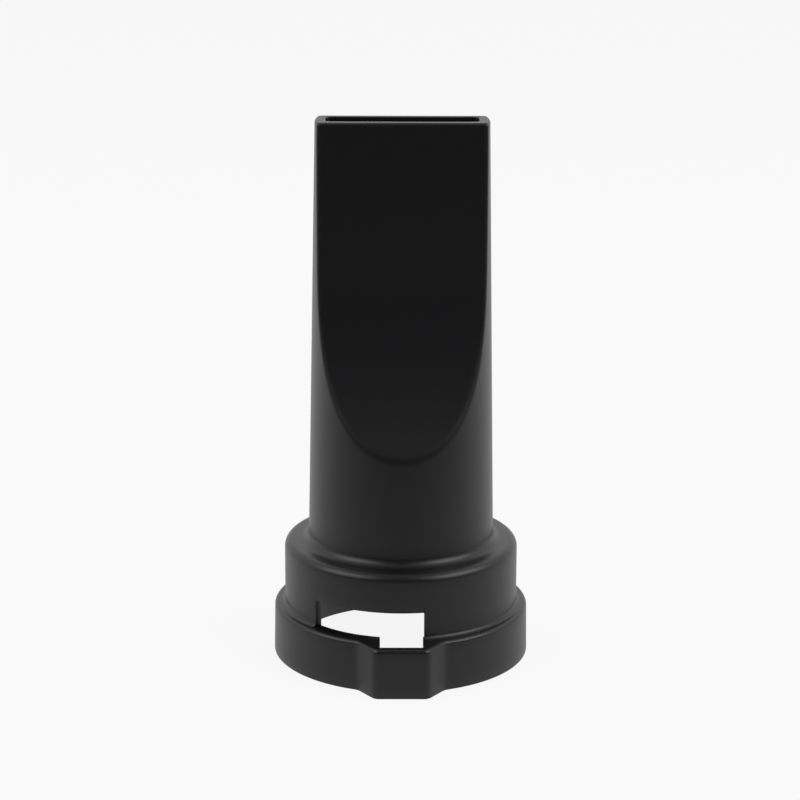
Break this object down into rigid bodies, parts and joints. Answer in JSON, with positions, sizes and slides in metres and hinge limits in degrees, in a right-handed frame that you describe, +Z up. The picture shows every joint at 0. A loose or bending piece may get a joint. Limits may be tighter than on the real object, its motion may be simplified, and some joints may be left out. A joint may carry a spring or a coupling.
{
  "type": "pet dryer hose outlet nozzle",
  "caption": "Flat air outlet nozzle: a round hollow body swept flat at front and rear up to a slit, on a stepped collar with a bayonet socket for the end of a pet dryer hose.",
  "frame": {"origin": "centre of the bottom face of the ring, on the axis of the socket", "axes": "+Z up the nozzle to the outlet slit, +X along the slit, -Y towards the front pin bulge"},
  "size_m": [0.0604, 0.068, 0.128],
  "materials": {
    "moulding": "satin black moulded plastic"
  },
  "bodies": {
    "root": {"nozzle": "moulding"}
  },
  "joints": []
}
